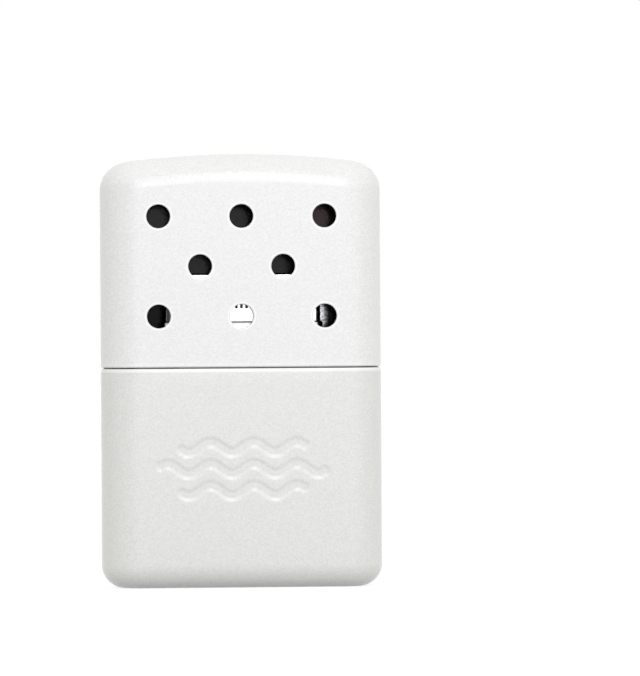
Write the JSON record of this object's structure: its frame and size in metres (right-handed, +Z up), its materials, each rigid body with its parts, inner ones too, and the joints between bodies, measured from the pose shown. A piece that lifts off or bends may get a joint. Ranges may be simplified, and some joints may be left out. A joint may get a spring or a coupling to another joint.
{
  "type": "catalytic hand warmer",
  "caption": "Flat round-sided metal pocket warmer: a fuel tank below, a vented pull-off lid above and a slotted catalytic burner between them.",
  "frame": {"origin": "middle of the flat base, on the surface that the warmer stands on", "axes": "+Z up through the tank and the lid, -Y out of the front face, +X to the right seen from the front"},
  "size_m": [0.051, 0.014, 0.0786],
  "materials": {
    "case_paint": "satin",
    "plating": "polished",
    "burner_plating": "polished",
    "plain_steel": "satin",
    "felt": "matte",
    "cotton": "matte",
    "catalyst_fibre": "matte"
  },
  "bodies": {
    "tank": {"tank_shell": "case_paint", "tank_collar": "plating", "tank_deck": "plating", "filler_neck": "plating", "neck_screen": "plain_steel", "wick_felt": "felt", "wadding_bottom": "cotton", "wadding_lower": "cotton", "wadding_upper": "cotton", "wadding_top": "cotton"},
    "burner": {"burner_skirt": "burner_plating", "burner_floor": "plain_steel", "burner_housing": "burner_plating", "gauze_front": "plain_steel", "gauze_back": "plain_steel", "catalyst_mat": "catalyst_fibre"},
    "lid": {"lid_shell": "case_paint"}
  },
  "joints": [
    {"name": "lid_lift", "type": "slide", "parent": "tank", "child": "lid", "axis": [0, 0, 1], "range_m": [0, 0.04]},
    {"name": "burner_lift", "type": "slide", "parent": "tank", "child": "burner", "axis": [0, 0, 1], "range_m": [0, 0.014]}
  ]
}
